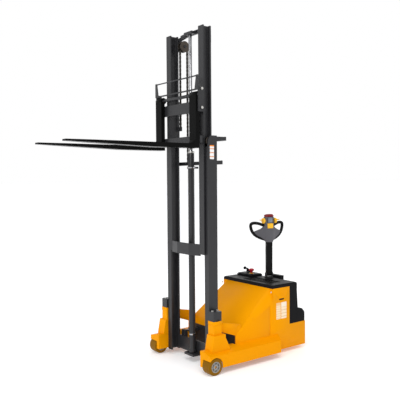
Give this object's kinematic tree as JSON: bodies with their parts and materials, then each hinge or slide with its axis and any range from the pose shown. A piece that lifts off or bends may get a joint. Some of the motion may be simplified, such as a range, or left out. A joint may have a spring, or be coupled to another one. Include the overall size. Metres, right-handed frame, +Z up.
{
  "type": "walkie stacker",
  "caption": "Pedestrian electric lift truck with a two-stage chain mast, tilting forks, outrigger load wheels and a steered drive wheel under a tiller.",
  "frame": {"origin": "on the floor, under the middle of the truck's length and width", "axes": "+X forward along the forks, +Y to the truck's left, +Z up"},
  "size_m": [2.5828, 0.952, 3.07],
  "materials": {
    "yellow_paint": "satin powder coat",
    "black_cover": "fine moulded grain",
    "grey_plastic": "fine moulded grain",
    "mast_steel": "semi-gloss dark grey",
    "black_steel": "gloss black",
    "bright_steel": "machined",
    "chain_steel": "oiled",
    "chrome_rod": "ground and plated",
    "wheel_tread": "cast polyurethane",
    "hub_grey": "cast",
    "yellow_plastic": "moulded",
    "red_plastic": "moulded",
    "battery_case": "moulded"
  },
  "bodies": {
    "truck": {"leg_left": "yellow_paint", "leg_right": "yellow_paint", "side_panel_left": "yellow_paint", "side_panel_right": "yellow_paint", "hood_front": "yellow_paint", "base_plate": "yellow_paint", "front_bulkhead": "black_steel", "rear_skirt": "yellow_paint", "top_cover": "black_cover", "rear_column": "black_cover", "rear_step": "black_cover", "mast_post_left": "yellow_paint", "mast_post_right": "yellow_paint", "pivot_caps": "black_steel", "cap_bolts": "bright_steel", "battery": "battery_case", "hydraulic_unit": "black_steel", "controller": "black_cover", "steering_bearing": "black_steel"},
    "wheel_left": {"wheel_tyre_left": "wheel_tread", "wheel_hub_left": "hub_grey"},
    "wheel_right": {"wheel_tyre_right": "wheel_tread", "wheel_hub_right": "hub_grey"},
    "steered_drive": {"drive_unit": "black_steel"},
    "drive_wheel": {"drive_wheel": "wheel_tread"},
    "tiller": {"tiller_arm": "black_cover", "tiller_head": "grey_plastic"},
    "thumb_wings": {"butterfly": "yellow_plastic"},
    "belly_button": {"belly_button": "red_plastic"},
    "lift_button": {"lift_button": "yellow_plastic"},
    "stop_button": {"stop_button": "red_plastic"},
    "hand_lever": {"hand_lever": "black_cover"},
    "mast": {"outer_channel_left": "mast_steel", "outer_channel_right": "mast_steel", "outer_lower_beam": "mast_steel", "tie_bars": "mast_steel", "lift_barrel": "mast_steel", "barrel_gland": "bright_steel", "chains_rear": "chain_steel"},
    "outer_rollers": {"outer_rollers": "bright_steel"},
    "tilt_barrels": {"tilt_barrels": "black_steel"},
    "tilt_rods": {"tilt_rods": "bright_steel"},
    "inner_mast": {"inner_channel_left": "mast_steel", "inner_channel_right": "mast_steel", "inner_top_beam": "mast_steel", "inner_lower_brace": "mast_steel", "lift_rod": "chrome_rod", "pulley_brackets": "mast_steel", "chain_wraps": "chain_steel", "chains_front": "chain_steel"},
    "inner_rollers": {"inner_rollers": "bright_steel"},
    "chain_pulleys": {"chain_pulleys": "bright_steel"},
    "carriage": {"carriage_bars": "mast_steel", "carriage_plates": "mast_steel", "backrest": "mast_steel", "fork_shaft": "bright_steel"},
    "carriage_rollers_lower": {"carriage_rollers_lower": "bright_steel"},
    "carriage_rollers_upper": {"carriage_rollers_upper": "bright_steel"},
    "fork_left": {"fork_left": "black_steel"},
    "fork_right": {"fork_right": "black_steel"}
  },
  "joints": [
    {"name": "wheel_left_spin", "type": "hinge", "parent": "truck", "child": "wheel_left", "pos_m": [0.0129, 0.425, 0.075], "axis": [0, 1, 0], "continuous": true},
    {"name": "wheel_right_spin", "type": "hinge", "parent": "truck", "child": "wheel_right", "pos_m": [0.0129, -0.425, 0.075], "axis": [0, 1, 0], "continuous": true},
    {"name": "steering", "type": "hinge", "parent": "truck", "child": "steered_drive", "pos_m": [-1.0851, 0, 0.271], "axis": [0, 0, 1], "range_deg": [-165, 15]},
    {"name": "drive_wheel_spin", "type": "hinge", "parent": "steered_drive", "child": "drive_wheel", "pos_m": [-1.0851, 0, 0.115], "axis": [-0.9659, 0.2588, 0], "continuous": true},
    {"name": "tiller_tilt", "type": "hinge", "parent": "steered_drive", "child": "tiller", "pos_m": [-1.0851, 0, 0.715], "axis": [0.9659, -0.2588, 0], "range_deg": [0, 70]},
    {"name": "thumb_turn", "type": "hinge", "parent": "tiller", "child": "thumb_wings", "pos_m": [-1.08303, 0.00773, 1.268], "axis": [-0.9659, 0.2588, 0], "range_deg": [-30, 30], "stiffness_Nm_per_rad": 0.4},
    {"name": "belly_press", "type": "slide", "parent": "tiller", "child": "belly_button", "axis": [0, 0, -1], "range_m": [0, 0.005], "stiffness_N_per_m": 900},
    {"name": "lift_press", "type": "slide", "parent": "tiller", "child": "lift_button", "axis": [-0.2588, -0.9659, 0], "range_m": [0, 0.004], "stiffness_N_per_m": 900},
    {"name": "stop_press", "type": "slide", "parent": "truck", "child": "stop_button", "axis": [0, 0, -1], "range_m": [0, 0.006]},
    {"name": "hand_lever_turn", "type": "hinge", "parent": "truck", "child": "hand_lever", "pos_m": [-1.0721, -0.3, 0.716], "axis": [0, 1, 0], "range_deg": [-25, 20]},
    {"name": "mast_tilt", "type": "hinge", "parent": "truck", "child": "mast", "pos_m": [-0.0651, 0, 0.45], "axis": [0, 1, 0], "range_deg": [-4, 2]},
    {"name": "tilt_barrel_turn", "type": "hinge", "parent": "truck", "child": "tilt_barrels", "pos_m": [-0.2871, 0, 0.23], "axis": [0, 1, 0], "range_deg": [-2.5, 3.5]},
    {"name": "tilt_rod_slide", "type": "slide", "parent": "tilt_barrels", "child": "tilt_rods", "axis": [1, 0, 0], "range_m": [-0.02, 0.02]},
    {"name": "mast_lift", "type": "slide", "parent": "mast", "child": "inner_mast", "axis": [0, 0, 1], "range_m": [-0.96, 0.48], "deforming": ["chains_rear"]},
    {"name": "carriage_lift", "type": "slide", "parent": "inner_mast", "child": "carriage", "axis": [0, 0, 1], "range_m": [-0.96, 0.48], "deforming": ["chains_front"]},
    {"name": "outer_roller_spin", "type": "hinge", "parent": "mast", "child": "outer_rollers", "pos_m": [-0.0606, 0, 2.042], "axis": [0, 1, 0], "range_deg": [-3600, 3600]},
    {"name": "inner_roller_spin", "type": "hinge", "parent": "inner_mast", "child": "inner_rollers", "pos_m": [-0.0841, 0, 1.066], "axis": [0, 1, 0], "range_deg": [-3600, 3600]},
    {"name": "pulley_spin", "type": "hinge", "parent": "inner_mast", "child": "chain_pulleys", "pos_m": [-0.1271, 0, 2.957], "axis": [0, 1, 0], "range_deg": [-3600, 3600]},
    {"name": "lower_roller_spin", "type": "hinge", "parent": "carriage", "child": "carriage_rollers_lower", "pos_m": [-0.0606, 0, 2.13], "axis": [0, 1, 0], "range_deg": [-3600, 3600]},
    {"name": "upper_roller_spin", "type": "hinge", "parent": "carriage", "child": "carriage_rollers_upper", "pos_m": [-0.0606, 0, 2.4], "axis": [0, 1, 0], "range_deg": [-3600, 3600]},
    {"name": "fork_left_slide", "type": "slide", "parent": "carriage", "child": "fork_left", "axis": [0, -1, 0], "range_m": [0, 0.149]},
    {"name": "fork_right_slide", "type": "slide", "parent": "carriage", "child": "fork_right", "axis": [0, 1, 0], "range_m": [0, 0.149]}
  ],
  "couplings": [
    {"joint": "carriage_lift", "follows": "mast_lift", "ratio": 1},
    {"joint": "outer_roller_spin", "follows": "mast_lift", "rad_per_m": 31.949},
    {"joint": "inner_roller_spin", "follows": "mast_lift", "rad_per_m": 28.736},
    {"joint": "lower_roller_spin", "follows": "mast_lift", "rad_per_m": 31.949},
    {"joint": "upper_roller_spin", "follows": "mast_lift", "rad_per_m": 31.949},
    {"joint": "pulley_spin", "follows": "mast_lift", "rad_per_m": -24.39},
    {"joint": "tilt_rod_slide", "follows": "mast_tilt", "m_per_rad": -0.22},
    {"joint": "tilt_barrel_turn", "follows": "mast_tilt", "ratio": -0.5857}
  ]
}
